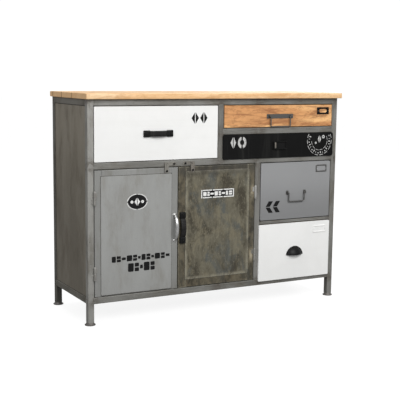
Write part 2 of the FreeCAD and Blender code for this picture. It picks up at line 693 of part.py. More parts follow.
def grey_drawer():
    x0, x1, z0, z1 = inset(GREY_OPENING, GREY_GAP)
    save("grey_drawer_front", pan(x0, x1, z0, z1, FRONT, FRONT + PAN_DEEP, 6.0))
    save("grey_drawer_box", core_board(inset(GREY_OPENING, GREY_GAP + SHEET), FRONT + SHEET, 6.0),
         *drawer_box(GREY_OPENING, GREY_HEAD))
    save("grey_drawer_runners", *slide_pair(GREY_OPENING, z0 + 90))
    save("grey_label_holder", label_holder(503.5, 574.0, 56, 31, FRONT, 3.0, 5.0))
    face = FRONT - SHEET
    eyes = []
    for way in (-1, 1):
        x = GREY_MIDDLE + (GREY_BAIL_HALF + LUG_OFFSET) * way
        base = rounded_block(x - 6, x + 6, face, FRONT, GREY_BAIL_Z - 9, GREY_BAIL_Z + 9,
                             "y", 3.0)
        eyes.append(base.fuse(lug(x, GREY_BAIL_Z, face)))
    save("grey_bail_eyes", *eyes)
    save("grey_bail", bail(GREY_MIDDLE, face - BAIL_OUT, GREY_BAIL_Z, GREY_BAIL_HALF,
                           GREY_BAIL_DROP, GREY_BAIL_BEND))


def low_drawer():
    """The low front hangs a little to the left of its opening."""
    face = FRONT - LOW_PROUD
    x0, x1, z0, z1 = over(LOW_OPENING, LOW_OVER)
    save("low_drawer_front", pan(x0, x1, z0, z1, face, FRONT - 0.5, 5.0))
    board = (LOW_OPENING[0] + PAN_INSIDE, x1 - SHEET, LOW_OPENING[2] + PAN_INSIDE, z1 - SHEET)
    save("low_drawer_box", core_board(board, face + SHEET, 5.0),
         *drawer_box(LOW_OPENING, LOW_HEAD))
    save("low_drawer_runners", *slide_pair(LOW_OPENING, LOW_OPENING[2] + 80))
    save("low_label_holder", label_holder(496.0, 309.0, 66, 31, face, 3.0, 5.0))
    cup_pull(CUP_X, CUP_Z, face)


def cap_solid(x, z, face, radius, deep):
    """A shallow round dome that stands out of the face towards the front."""
    crown = Vector(x, face - deep, z)
    rim = Vector(x + radius, face, z)
    sphere = (radius ** 2 + deep ** 2) / (2 * deep)
    lean = math.atan2(radius, sphere - deep) / 2
    half_way = Vector(x + sphere * math.sin(lean), face - deep + sphere * (1 - math.cos(lean)), z)
    outline = [Part.Arc(crown, half_way, rim).toShape(),
               Part.LineSegment(rim, Vector(x, face, z)).toShape(),
               Part.LineSegment(Vector(x, face, z), crown).toShape()]
    return Part.Face(Part.Wire(outline)).revolve(Vector(x, face, z), Vector(0, 1, 0), 360)


def cup_pull(x, z, face):
    """A cup pull: the upper part of a hollow dome, open at the bottom, with a flat flange."""
    flange = disc(x, z, CUP_FLANGE, face - 1.5, face)
    dome = cap_solid(x, z, face, CUP_RADIUS, CUP_DEEP)
    hollow = cap_solid(x, z, face, CUP_RADIUS - CUP_WALL, CUP_DEEP - CUP_WALL)
    below = block(x - 50, x + 50, face - 30, face + 1, z - 50, z + CUP_OPEN)
    save("low_cup_pull", flange.fuse(dome).cut(hollow).cut(below).removeSplitter())


frame()
feet()
panels()
brackets()
top()
hinges_on_frame()
door("left", IN_LEFT + DOOR_GAP, DOOR_SPLIT - DOOR_GAP / 2 - 0.25, LEFT_STILE, LEFT_SHEET,
     BOW_X, (BOW_Z - BOW_SPAN / 2, BOW_Z + BOW_SPAN / 2), LEFT_LATCH_X, LEFT_HINGES,
     LEFT_HINGE_X, 1)
door("right", DOOR_SPLIT + DOOR_GAP / 2 + 0.25, POST_LOWER - DOOR_GAP, RIGHT_STILE, RIGHT_SHEET,
     STRAP_X, (STRAP_Z - STRAP_BOLTS / 2, STRAP_Z + STRAP_BOLTS / 2), RIGHT_LATCH_X,
     RIGHT_HINGES, RIGHT_HINGE_X, -1)
bow_handle()
strap_handle("right_door_grip_caps", "right_door_grip", STRAP_X, STRAP_Z, True, True)
latch_tab("left_latch_tab", LEFT_LATCH_X, 1)
latch_tab("right_latch_tab", RIGHT_LATCH_X, -1)
latch_keepers()
wide_drawer()
wood_drawer()
black_drawer()
grey_drawer()
low_drawer()
save("slide_channels", *CHANNELS)
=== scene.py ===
import json
import math
import random

import bmesh
import bpy
from mathutils import Matrix, Vector


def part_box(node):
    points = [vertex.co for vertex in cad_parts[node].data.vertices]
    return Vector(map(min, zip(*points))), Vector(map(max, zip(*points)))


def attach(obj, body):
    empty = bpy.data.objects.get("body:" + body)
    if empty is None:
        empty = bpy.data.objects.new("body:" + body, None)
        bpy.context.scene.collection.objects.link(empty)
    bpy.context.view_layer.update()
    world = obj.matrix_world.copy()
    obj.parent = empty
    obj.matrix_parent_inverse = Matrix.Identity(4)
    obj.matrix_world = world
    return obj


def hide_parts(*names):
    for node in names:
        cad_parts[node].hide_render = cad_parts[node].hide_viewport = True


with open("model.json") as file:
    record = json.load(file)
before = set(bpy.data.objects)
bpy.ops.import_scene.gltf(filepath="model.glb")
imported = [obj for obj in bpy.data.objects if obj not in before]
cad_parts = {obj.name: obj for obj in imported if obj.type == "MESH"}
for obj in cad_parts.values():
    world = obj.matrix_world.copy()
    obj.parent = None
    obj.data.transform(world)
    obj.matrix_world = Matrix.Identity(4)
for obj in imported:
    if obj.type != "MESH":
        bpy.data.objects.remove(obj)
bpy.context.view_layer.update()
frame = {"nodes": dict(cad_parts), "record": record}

# The looks of a steel and wood sideboard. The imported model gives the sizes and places. This
# script adds materials, detailed fittings, markings, the floor, the lights and the camera.
# Metres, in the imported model's own frame: +X to the right, +Y to the back, +Z up.

random.seed(7)
MM = 0.001
EVEN = (1, 1, 1)


def low(node):
    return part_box(node)[0]


def high(node):
    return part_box(node)[1]


def middle(node):
    return (low(node) + high(node)) / 2


def half_size(node):
    return (high(node) - low(node)) / 2


FRONT = low("front_rails").y            # the face of the steel frame
DOOR_FACE = low("left_door_sheet").y    # the face of the doors' raised sheets
BLACK_FACE = low("black_drawer_front").y
TUBE = 25.4 * MM
MIDDLE_RAIL = 608 * MM
# the undersides of the bottom, middle, top and divider rails
RAILS = (low("front_rails").z, MIDDLE_RAIL, high("front_rails").z - TUBE,
         high("drawer_divider_rails").z - TUBE)
JOINT_LEVELS = tuple(z + TUBE / 2 for z in RAILS)
JOINT_COLUMNS = tuple(x for node in ("front_legs", "front_mullions")
                      for x in (low(node).x + TUBE / 2, high(node).x - TUBE / 2))
HINGE_LEVELS = {"left_door": (0.204, 0.498), "right_door": (0.221, 0.486)}
MATERIALS = {}


# ---------------------------------------------------------------- materials
class Recipe:
    """One node material, built a step at a time. Patterns follow the piece, in metres."""

    def __init__(self, name):
        self.material = bpy.data.materials.new(name)
        self.material.use_nodes = True
        self.tree = self.material.node_tree
        self.shader = self.tree.nodes["Principled BSDF"]
        self.place = self.tree.nodes.new("ShaderNodeTexCoord").outputs["Object"]
        MATERIALS[name] = self.material

    def add(self, kind, **settings):
        node = self.tree.nodes.new(kind)
        for key, value in settings.items():
            setattr(node, key, value)
        return node

    def feed(self, socket, value):
        if isinstance(value, bpy.types.NodeSocket):
            self.tree.links.new(value, socket)
        elif isinstance(value, tuple) and len(value) == 3 and socket.type == "RGBA":
            socket.default_value = (*value, 1.0)
        else:
            socket.default_value = value

    def noise(self, scale, stretch=EVEN, detail=4.0, rough=0.55, warp=0.0, seed=0.0):
        move = self.add("ShaderNodeMapping")
        self.feed(move.inputs["Vector"], self.place)
        move.inputs["Scale"].default_value = stretch
        move.inputs["Location"].default_value = (seed, seed * 1.7, seed * 0.6)
        pattern = self.add("ShaderNodeTexNoise")
        self.feed(pattern.inputs["Vector"], move.outputs["Vector"])
        pattern.inputs["Scale"].default_value = scale
        pattern.inputs["Detail"].default_value = detail
        pattern.inputs["Roughness"].default_value = rough
        pattern.inputs["Distortion"].default_value = warp
        return pattern.outputs["Fac"]

    def spread(self, value, lo, hi, to_lo=0.0, to_hi=1.0):
        """Stretch the part of a value from lo to hi, smoothly, over to_lo to to_hi."""
        node = self.add("ShaderNodeMapRange", interpolation_type="SMOOTHSTEP")
        for key, amount in (("Value", value), ("From Min", lo), ("From Max", hi),
                            ("To Min", to_lo), ("To Max", to_hi)):
            self.feed(node.inputs[key], amount)
        return node.outputs["Result"]

    def mix(self, factor, first, second):
        node = self.add("ShaderNodeMix", data_type="RGBA")
        self.feed(node.inputs["Factor"], factor)
        self.feed(node.inputs[6], first)
        self.feed(node.inputs[7], second)
        return node.outputs[2]

    def sum(self, first, second, how="ADD"):
        node = self.add("ShaderNodeMath", operation=how)
        self.feed(node.inputs[0], first)
        self.feed(node.inputs[1], second)
        return node.outputs["Value"]

    def less(self, first, second):
        return self.sum(first, second, "SUBTRACT")

    def times(self, first, second):
        return self.sum(first, second, "MULTIPLY")

    def most(self, first, second):
        return self.sum(first, second, "MAXIMUM")

    def axis(self, letter):
        split = self.add("ShaderNodeSeparateXYZ")
        self.feed(split.inputs["Vector"], self.place)
        return split.outputs[letter]

    def edges(self, radius, lo=0.02, hi=0.25):
        """1 on edges and corners, 0 on flat faces."""
        soft = self.add("ShaderNodeBevel", samples=6)
        soft.inputs["Radius"].default_value = radius
        flat = self.add("ShaderNodeNewGeometry")
        dot = self.add("ShaderNodeVectorMath", operation="DOT_PRODUCT")
        self.feed(dot.inputs[0], soft.outputs["Normal"])
        self.feed(dot.inputs[1], flat.outputs["Normal"])
        return self.spread(self.less(1.0, dot.outputs["Value"]), lo, hi)

    def near(self, letter, places, reach):
        """1 at any of some places along an axis, fading to 0 at the reach."""
        along = self.axis(letter)
        found = 0.0
        for place in places:
            away = self.sum(self.less(along, place), 0.0, "ABSOLUTE")
            found = self.most(found, self.spread(away, 0.0, reach, 1.0, 0.0))
        return found

    def inside(self, node, soft):
        """1 over a node's front view, 0 outside it."""
        lo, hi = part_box(node)
        found = 1.0
        for letter, first, last in (("X", lo.x, hi.x), ("Z", lo.z, hi.z)):
            along = self.axis(letter)
            found = self.times(found, self.spread(along, first - soft, first))
            found = self.times(found, self.spread(along, last, last + soft, 1.0, 0.0))
        return found

    def finish(self, colour, rough, metal=0.0, bump=None, bump_depth=0.2 * MM, strength=1.0):
        self.feed(self.shader.inputs["Base Color"], colour)
        self.feed(self.shader.inputs["Roughness"], rough)
        self.feed(self.shader.inputs["Metallic"], metal)
        if bump is not None:
            node = self.add("ShaderNodeBump")
            node.inputs["Distance"].default_value = bump_depth
            node.inputs["Strength"].default_value = strength
            self.feed(node.inputs["Height"], bump)
            self.feed(self.shader.inputs["Normal"], node.outputs["Normal"])

    def dull(self, amount):
        """Weaken the mirror-like part of the shine."""
        self.shader.inputs["Specular IOR Level"].default_value = amount


def shade(colour, share):
    return tuple(c * share for c in colour)


def stretched(grain, share):
    """Scales that draw a pattern out along the grain."""
    return tuple(share if letter == grain else 1.0 for letter in "xyz")


def raw_steel(name, grain, light, dark, stain, shine=0.35, wear=0.7, blots=0.75, seed=0.0,
              lit_end=None, joints=None, brushed=0.30, specked=0.55):
    """Bare steel under lacquer: brushed along one way, patchy, stained and rubbed bright.
    lit_end is (axis, from, to): painted light, the steel is paler towards the first of these
    places.
    joints is (axis, places, reach): brown heat stains there, as beside welds."""
    r = Recipe(name)
    long = stretched(grain, 0.35)
    cloud = r.spread(r.noise(7.0, long, 5, 0.6, 0.15, seed), 0.36, 0.64)
    body = r.mix(cloud, dark, light)
    if lit_end:
        # painted light: the steel is paler towards the lit end
        painted_light_ramp = r.spread(r.axis(lit_end[0]), lit_end[1], lit_end[2], 0.75, 0.0)
        body = r.mix(painted_light_ramp, body, shade(light, 1.45))
    blot = r.spread(r.noise(17.0, long, 5, 0.62, 0.2, seed + 3), 0.46, 0.70, 0.0, blots)
    body = r.mix(blot, body, stain)
    if joints:
        uneven = r.spread(r.noise(30.0, EVEN, 5, 0.7, 0.6, seed + 7), 0.40, 0.60, 0.1, 0.85)
        body = r.mix(r.times(r.near(*joints), uneven), body, (0.066, 0.050, 0.034))
    brush = r.noise(420.0, stretched(grain, 0.06), 3, 0.7, 0.0, seed + 5)
    body = r.mix(r.spread(brush, 0.3, 0.7, 0.0, brushed), body, shade(light, 1.45))
    specks = r.noise(150.0, EVEN, 3, 0.6, 0.0, seed + 8)
    body = r.mix(r.spread(specks, 0.62, 0.76, 0.0, specked), body, shade(dark, 0.35))
    patchy = r.spread(r.noise(45.0, EVEN, 4, 0.7, 0.0, seed + 2), 0.40, 0.66, 0.1, 1.0)
    rub = r.times(r.edges(2.2 * MM), patchy)
    body = r.mix(r.times(rub, wear), body, shade(light, 1.8))
    r.finish(body, r.spread(cloud, 0.0, 1.0, 0.55, 0.40), shine,
             r.sum(brush, r.times(blot, 0.6)), 0.06 * MM, 0.5)


def painted(name, colour, dirt, dirt_amount=0.35, rough=0.42, streak="x", wear=None, seed=0.0,
            painted_shade_end=None):
    """Sprayed paint on sheet steel: faint mottling, orange peel, grime and rubbed edges.
    painted_shade_end is (axis, from, to): painted shade, the paint is darker towards the second of
    these places."""
    r = Recipe(name)
    cloud = r.spread(r.noise(4.0, EVEN, 4, 0.6, 0.6, seed), 0.35, 0.7)
    body = r.mix(r.times(cloud, 0.5), colour, shade(colour, 0.90))
    if painted_shade_end:
        # painted shade: the paint darkens towards one end
        painted_shade = r.spread(r.axis(painted_shade_end[0]), painted_shade_end[1], painted_shade_end[2], 0.0, 0.8)
        body = r.mix(painted_shade, body, shade(colour, 0.66))
    grime = r.noise(14.0, stretched(streak, 0.06), 6, 0.7, 0.3, seed + 4)
    body = r.mix(r.spread(grime, 0.5, 0.78, 0.0, dirt_amount), body, dirt)
    spots = r.spread(r.noise(90.0, EVEN, 4, 0.7, 0.0, seed + 6), 0.42, 0.6)
    rub = r.times(r.edges(1.6 * MM), spots)
    body = r.mix(r.times(rub, 0.8 if wear else 0.3), body, wear or dirt)
    r.finish(body, r.spread(cloud, 0.0, 1.0, rough, rough + 0.12), 0.0,
             r.noise(900.0, EVEN, 2, 0.5), 0.03 * MM, 0.35)
    return r


def patina(name):
    """Olive, tan and blue-grey patina in soft tall smears. The rim of the raised sheet is
    rubbed pale, the top is dark, and a painted highlight lies pale tan on the stile beside
    the hinges."""
    r = Recipe(name)
    body = r.mix(r.spread(r.noise(9.0, (1, 1, 0.6), 7, 0.72, 0.5, 1.0), 0.42, 0.58),
                 (0.168, 0.154, 0.110), (0.062, 0.053, 0.035))
    smears = r.noise(28.0, (1, 1, 0.36), 7, 0.74, 0.3, 2.0)
    layers = ((r.noise(8.0, (1, 1, 0.65), 6, 0.68, 0.5, 9.0), 0.49, 0.61, 0.75,
               (0.100, 0.112, 0.108)),
              (r.noise(22.0, (1, 1, 0.5), 6, 0.74, 0.4, 4.0), 0.49, 0.62, 0.7,
               (0.225, 0.200, 0.135)),
              (smears, 0.42, 0.66, 0.55, (0.058, 0.050, 0.034)),
              (r.noise(160.0, (1, 1, 0.6), 4, 0.7, 0.0, 5.0), 0.54, 0.68, 0.5,
               (0.275, 0.252, 0.185)))
    for pattern, first, last, amount, colour in layers:
        body = r.mix(r.spread(pattern, first, last, 0.0, amount), body, colour)

    sheet = "right_door_sheet"
    lo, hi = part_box(sheet)
    over = r.inside(sheet, 1.5 * MM)
    patch = r.spread(r.noise(36.0, (1, 1, 0.6), 5, 0.7, 0.3, 6.0), 0.38, 0.60)
    frame_tone = r.mix(patch, (0.034, 0.030, 0.021), (0.142, 0.118, 0.074))
    body = r.mix(r.times(r.less(1.0, over), 0.65), body, frame_tone)
    rim = r.most(r.near("X", (lo.x + 4 * MM, hi.x - 4 * MM), 11 * MM),
                 r.near("Z", (lo.z + 4 * MM, hi.z - 3 * MM), 11 * MM))
    rim = r.times(r.times(rim, over), r.spread(patch, 0.0, 1.0, 0.25, 0.75))
    body = r.mix(rim, body, (0.300, 0.280, 0.212))
    upper = r.spread(r.axis("Z"), hi.z - 35 * MM, hi.z + 6 * MM, 0.0, 0.62)
    body = r.mix(upper, body, (0.050, 0.047, 0.040))
    # painted highlight: a pale tan glow on the stile beside the hinges
    painted_hinge_highlight = r.times(r.near("Z", HINGE_LEVELS["right_door"], 42 * MM),
                    r.spread(r.axis("X"), hi.x + 2 * MM, hi.x + 16 * MM))
    body = r.mix(r.times(painted_hinge_highlight, r.spread(patch, 0.0, 1.0, 0.35, 0.95)), body,
                 (0.480, 0.420, 0.300))
    rub = r.times(r.edges(4 * MM, 0.01, 0.14), r.spread(patch, 0.0, 1.0, 0.3, 0.9))
    body = r.mix(rub, body, (0.42, 0.395, 0.31))
    r.finish(body, r.spread(smears, 0.3, 0.7, 0.38, 0.60), 0.25, smears, 0.15 * MM, 0.5)


def timber(name, seed, light, mid, dark, grain="x", rough=0.46, heart=0.9, ends=None, glue=None):
    """Oiled solid wood: long figure, darker heart streaks, pores and softened edges.
    ends gives the places along the grain where the darker end grain shows, and glue the
    places across it, for a grain along X, where two boards meet."""
    r = Recipe(name)
    stretch = stretched(grain, 0.09)
    figure = r.noise(16.0, stretch, 5, 0.6, 1.6, seed)
    body = r.mix(r.spread(figure, 0.38, 0.60), light, mid)
    lines = r.noise(95.0, stretch, 4, 0.7, 0.8, seed + 5)
    fibre = r.noise(1000.0, stretched(grain, 0.035), 3, 0.6, 0.0, seed + 2)
    for pattern, first, last, amount, colour in (
            (r.noise(17.0, (0.22, 1.0, 1.0), 6, 0.68, 1.0, seed + 11), 0.49, 0.64, heart, dark),
            (r.noise(60.0, (0.45, 1.0, 1.0), 5, 0.72, 0.6, seed + 17), 0.50, 0.66, heart * 0.7,
             dark),
            (lines, 0.48, 0.68, 0.5, dark),
            (fibre, 0.56, 0.72, 0.5, shade(dark, 0.55))):
        body = r.mix(r.spread(pattern, first, last, 0.0, amount), body, colour)
    if ends:
        cut = r.near(grain.upper(), ends, 5 * MM)
        body = r.mix(r.times(cut, 0.7), body, shade(mid, 1.05))
    if glue:
        crack = r.times(r.near("Y", glue, 5 * MM), r.near("X", ends, 9 * MM))
        joint = r.most(r.times(r.near("Y", glue, 1.6 * MM), 0.7), crack)
        body = r.mix(joint, body, shade(dark, 0.3))
    body = r.mix(r.times(r.edges(3 * MM, 0.02, 0.3), 0.35), body, shade(mid, 0.7))
    relief = r.sum(r.times(fibre, -1.0), lines)
    r.finish(body, r.spread(lines, 0.3, 0.7, rough - 0.06, rough + 0.1), 0.0, relief,
             0.25 * MM, 0.45)


def plated(name, colour, rough, metal=1.0, smear=0.12, seed=0.0):
    """Plated or coated metal with faint smears and fine scratches."""
    r = Recipe(name)
    cloud = r.noise(30.0, EVEN, 4, 0.6, 0.5, seed)
    body = r.mix(r.spread(cloud, 0.35, 0.7, 0.0, 0.5), colour, shade(colour, 0.75))
    body = r.mix(r.times(r.edges(1 * MM, 0.03, 0.3), 0.5), body,
                 tuple(min(1.0, c * 1.6 + 0.03) for c in colour))
    r.finish(body, r.spread(cloud, 0.3, 0.7, rough, rough + smear), metal,
             r.noise(700.0, (1, 0.2, 0.1), 2, 0.6, 0.0, seed + 3), 0.03 * MM, 0.4)
    return r


def moulded(name):
    """Black moulded strap: fine pebble grain."""
    r = Recipe(name)
    pebble = r.noise(1300.0, EVEN, 3, 0.6)
    body = r.mix(r.spread(r.noise(40.0, EVEN, 3, 0.6), 0.3, 0.7), (0.010, 0.010, 0.010),
                 (0.022, 0.021, 0.020))
    r.finish(body, r.spread(pebble, 0.3, 0.7, 0.38, 0.55), 0.0, pebble, 0.1 * MM, 0.5)
    return r


def ink(name, colour, under, hold):
    """Stencil paint, rubbed thin in places so that some of what is under it shows."""
    r = Recipe(name)
    worn = r.spread(r.noise(70.0, EVEN, 6, 0.75, 0.3, 2.0), hold, hold + 0.14, 0.0, 0.75)
    r.finish(r.mix(worn, colour, under), r.spread(worn, 0.0, 1.0, 0.45, 0.6), 0.0,
             r.noise(500.0, EVEN, 3, 0.6), 0.05 * MM, 0.4)
    return r


TUBE_STEEL = ((0.262, 0.259, 0.242), (0.132, 0.129, 0.115), (0.110, 0.094, 0.068))
LEG_WELDS = ("Z", JOINT_LEVELS[:3], 46 * MM)

# The frame's tubes carry painted light: paler towards the left end, where more light falls.
raw_steel("frame_steel", "z", *TUBE_STEEL, lit_end=("X", -0.60, -0.35), joints=LEG_WELDS)
# The rear legs' steel: a darker copy of the frame's steel, painted shade for legs that stand in
# shadow.
raw_steel("shaded_rear_leg_steel", "z", (0.165, 0.160, 0.145), (0.080, 0.077, 0.066),
          (0.070, 0.058, 0.042), seed=17.0, joints=LEG_WELDS)
raw_steel("rail_steel", "x", *TUBE_STEEL, seed=5.0, joints=("X", JOINT_COLUMNS, 55 * MM))
raw_steel("mullion_steel", "z", (0.250, 0.246, 0.230), (0.132, 0.128, 0.114),
          (0.102, 0.088, 0.064), seed=31.0, joints=("Z", JOINT_LEVELS, 46 * MM))
raw_steel("side_rail_steel", "y", (0.205, 0.194, 0.168), (0.125, 0.117, 0.098),
          (0.110, 0.090, 0.064), seed=8.0,
          joints=("Y", (FRONT + TUBE, low("rear_legs").y), 40 * MM))
# The side panels' steel carries painted light: paler towards the top, where more light falls.
raw_steel("sheet_steel", "z", (0.262, 0.234, 0.188), (0.184, 0.165, 0.132),
          (0.124, 0.103, 0.074), wear=0.3, blots=0.6, seed=12.0, lit_end=("Z", 0.95, 0.35),
          brushed=0.16, specked=0.3)
raw_steel("foot_steel", "x", (0.22, 0.21, 0.20), (0.12, 0.11, 0.10), (0.11, 0.09, 0.07), seed=3.0)
raw_steel("hinge_steel", "z", (0.52, 0.52, 0.50), (0.22, 0.21, 0.19), (0.10, 0.08, 0.06), 0.5,
          seed=2.0)
raw_steel("latch_steel", "z", (0.32, 0.31, 0.28), (0.15, 0.14, 0.12), (0.12, 0.09, 0.07), 0.5,
          seed=6.0)
raw_steel("grey_door_steel", "z", (0.348, 0.352, 0.342), (0.300, 0.302, 0.292),
          (0.232, 0.222, 0.194), 0.15, 0.35, 0.55, seed=21.0, brushed=0.10, specked=0.2)
raw_steel("door_frame_steel", "z", (0.290, 0.293, 0.282), (0.240, 0.241, 0.230),
          (0.165, 0.155, 0.130), 0.15, 0.5, 0.6, seed=25.0, brushed=0.12, specked=0.25)
patina("rusty_steel")
painted("white_paint", (0.905, 0.905, 0.890), (0.62, 0.60, 0.55), 0.08, 0.38)
# The grey paint carries painted shade: darker towards the bottom.
painted("grey_paint", (0.300, 0.303, 0.307), (0.235, 0.235, 0.232), 0.6, 0.45,
        wear=(0.42, 0.42, 0.41), seed=5.0, painted_shade_end=("Z", 0.56, 0.36))
# A dark paint that stands for the shadow in narrow gaps: painted shade.
painted("seam_dark", (0.035, 0.031, 0.026), (0.090, 0.080, 0.062), 0.8, 0.6, seed=9.0)
timber("mango_wood", 3.0, (0.940, 0.545, 0.235), (0.690, 0.335, 0.130), (0.300, 0.115, 0.042),
       heart=0.76)
timber("box_wood", 8.0, (0.62, 0.47, 0.31), (0.52, 0.37, 0.22), (0.38, 0.25, 0.14), "y", 0.6, 0.4)
plated("zinc_steel", (0.55, 0.56, 0.57), 0.30, seed=4.0)
plated("chrome", (0.90, 0.90, 0.89), 0.24)
plated("gunmetal", (0.150, 0.147, 0.140), 0.36, 0.7, 0.15, 5.0)
ink("ink_grey", (0.56, 0.56, 0.545), (0.09, 0.09, 0.088), 0.52)
ink("ink_white", (0.82, 0.82, 0.80), (0.20, 0.20, 0.19), 0.56)
for black in (
        painted("black_paint", (0.004, 0.004, 0.004), (0.046, 0.046, 0.043), 0.8, 0.45, "z",
                (0.14, 0.13, 0.12), seed=2.0),
        plated("black_fitting", (0.009, 0.009, 0.009), 0.32, 0.0, 0.15, 7.0),
        moulded("black_strap"),
        ink("ink_black", (0.010, 0.010, 0.010), (0.16, 0.16, 0.155), 0.66)):
    black.dull(0.16)

OWN_FINISH = {"front_rails": "rail_steel", "rear_rails": "rail_steel",
              "drawer_divider_rails": "rail_steel", "side_rails": "side_rail_steel",
              "front_mullions": "mullion_steel", "rear_legs": "shaded_rear_leg_steel",
              "left_door_frame": "door_frame_steel"}
for part in frame["record"]["subparts"]:
    finish = OWN_FINISH.get(part["node"], part["material_slot"])
    for used in frame["nodes"][part["node"]].material_slots:
        used.material = MATERIALS[finish]


# ---------------------------------------------------------------- mesh helpers
def piece(name, verts, faces, body, slot, material=None, crease=35, replaces=()):
    """A new mesh that rides on a body. Its finish is the given material, or else the one named by
    the slot.
    """
    mesh = bpy.data.meshes.new(name)
    mesh.from_pydata([tuple(v) for v in verts], [], faces)
    shape = bmesh.new()
    shape.from_mesh(mesh)
    bmesh.ops.recalc_face_normals(shape, faces=shape.faces)
    shape.to_mesh(mesh)
    shape.free()
    mesh.shade_smooth()
    mesh.set_sharp_from_angle(angle=math.radians(crease))
    obj = bpy.data.objects.new(name, mesh)
    bpy.context.scene.collection.objects.link(obj)
    mesh.materials.append(MATERIALS[material or slot])
    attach(obj, body)
    if replaces:
        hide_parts(*replaces)


def oval(half_a, half_b, steps):
    """Points round an ellipse."""
    return [(half_a * math.cos(math.tau * i / steps), half_b * math.sin(math.tau * i / steps))
            for i in range(steps)]


def rounded_loop(half_a, half_b, corner, steps=6):
    """Points round a rounded rectangle."""
    corner = min(corner, half_a, half_b)
    points = []
    for side_a, side_b, start in ((1, 1, 0), (-1, 1, 90), (-1, -1, 180), (1, -1, 270)):
        for i in range(steps + 1):
            turn = math.radians(start + 90 * i / steps)
            points.append((side_a * (half_a - corner) + corner * math.cos(turn),
                           side_b * (half_b - corner) + corner * math.sin(turn)))
    return points


def wrap(rings, closed=False):
    """Skin a row of rings that all have the same number of points. A closed row meets its own
    start again, and any other has a flat face at both ends."""
    count = len(rings[0])
    verts = [point for ring in rings for point in ring]
    faces = []
    for k in range(len(rings) if closed else len(rings) - 1):
        a = k * count
        b = (k + 1) % len(rings) * count
        for i in range(count):
            j = (i + 1) % count
            faces.append((a + i, a + j, b + j, b + i))
    if not closed:
        faces.append(tuple(range(count)))
        faces.append(tuple(range(len(verts) - count, len(verts))))
    return verts, faces


def loft(x, z, loops, closed=False):
    """Skin a stack of rounded rectangles round a point. Each is (half x, half z, corner, y)."""
    return wrap([[Vector((x + a, y, z + b)) for a, b in rounded_loop(half_x, half_z, corner)]
                 for half_x, half_z, corner, y in loops], closed)


def sweep(path, across, section):
    """Carry a section along a flat path. across is the path's normal. section gives the
    section's points at a share of the way, as (along across, square to it)."""
    last = len(path) - 1
    rings = []
    for k, point in enumerate(path):
        ahead = (path[min(k + 1, last)] - path[max(k - 1, 0)]).normalized()
        out = ahead.cross(across).normalized()
        rings.append([point + across * a + out * b for a, b in section(k / last)])
    return wrap(rings)


def join(*parts):
    """Put several (verts, faces) together."""
    verts = []
    faces = []
    for more_verts, more_faces in parts:
        base = len(verts)
        verts.extend(more_verts)
        faces.extend(tuple(base + i for i in face) for face in more_faces)
    return verts, faces


def screw(x, z, face, radius):
    """A domed screw head that stands on a face and looks to the front."""
    return loft(x, z, [(radius * wide, radius * wide, radius * wide, face - radius * out)
                       for wide, out in ((1.0, 0.0), (1.0, 0.18), (0.9, 0.42), (0.66, 0.62),
                                         (0.34, 0.72), (0.30, 0.50), (0.05, 0.50))])


SINK = 0.05 * MM        # how far thin shapes reach into the face under them


def plate(points, face, thick=0.35 * MM):
    """A thin flat shape, given by its outline in X and Z, on a face that looks forward."""
    return wrap([[Vector((x, y, z)) for x, z in points] for y in (face - thick, face + SINK)])


def band(x, z, inner, outer, start, end, face, squeeze=1.0, thick=0.35 * MM):
    """Part of a flat ring, from start to end in degrees."""
    steps = max(4, int(abs(end - start) / 6))
    rings = []
    for i in range(steps + 1):
        turn = math.radians(start + (end - start) * i / steps)
        rings.append([Vector((x + far * math.cos(turn), face + deep,
                              z + far * squeeze * math.sin(turn)))
                      for far, deep in ((inner, -thick), (outer, -thick), (outer, SINK),
                                        (inner, SINK))])
    return wrap(rings)


# ---------------------------------------------------------------- wooden top
def top_boards():
    """Four boards, each with its own figure, softly worn edges and slightly uneven joints."""
    lo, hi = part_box("top_boards")
    long = hi.x - lo.x
    mid_z = (lo.z + hi.z) / 2
    cuts = [lo.y + wide * MM for wide in (0, 160, 272, 375)] + [hi.y]
    stations = [0.02 + 0.96 * i / 60 for i in range(61)]
    stations = [0.0, 0.0006, 0.0016] + stations + [0.9984, 0.9994, 1.0]
    for k, drop in enumerate((0.0, 0.25 * MM, 0.1 * MM, 0.3 * MM)):
        name = "top_board_%d" % (k + 1)
        timber(name, 3.0 + 7.3 * k, (0.930, 0.670, 0.400), (0.860, 0.540, 0.270),
               (0.600, 0.310, 0.120), heart=0.6, ends=(lo.x, hi.x), glue=cuts[1:-1])
        y0, y1 = cuts[k], cuts[k + 1]
        mid_y = (y0 + y1) / 2
        section = rounded_loop((y1 - y0) / 2, (hi.z - lo.z) / 2, 2.4 * MM, 3)
        rings = []
        for share in stations:
            shrink = max(0.0, 1.2 * MM - min(share, 1 - share) * long) * 0.8
            wave = 0.22 * MM * abs(math.sin(share * 23 + k * 2) * math.sin(share * 7 + k))
            ring = []
            for a, b in section:
                worn = wave if k == 0 and mid_y + a < y0 + 3 * MM else 0.0
                y = mid_y + a - math.copysign(shrink, a) + worn
                z = mid_z + b - (drop + shrink if b > 0 else -shrink)
                ring.append(Vector((lo.x + share * long, max(y, y0), z)))
            rings.append(ring)
        piece(name, *wrap(rings), "cabinet", "mango_wood", name, 30, ("top_boards",))


# ---------------------------------------------------------------- welds
def bead(start, end, out):
    """A ground weld: a low rippled bead that lies in the groove between two tubes."""
    radius, sink = 2.0 * MM, 1.1 * MM
    way = end - start
    steps = max(8, int(way.length / (1.2 * MM)))
    across = way.normalized().cross(out).normalized()
    seed = random.uniform(0, 50)
    rings = []
    for k in range(steps + 1):
        share = k / steps
        taper = min(1.0, 8 * min(share, 1 - share) + 0.25)
        ripple = 1 + 0.10 * math.sin(k * 1.9 + seed) + 0.06 * math.sin(k * 0.7 + seed)
        size = radius * taper * ripple
        rings.append([start + way * share - out * sink + across * a + out * b
                      for a, b in oval(size, size * 0.7, 8)])
    return wrap(rings)


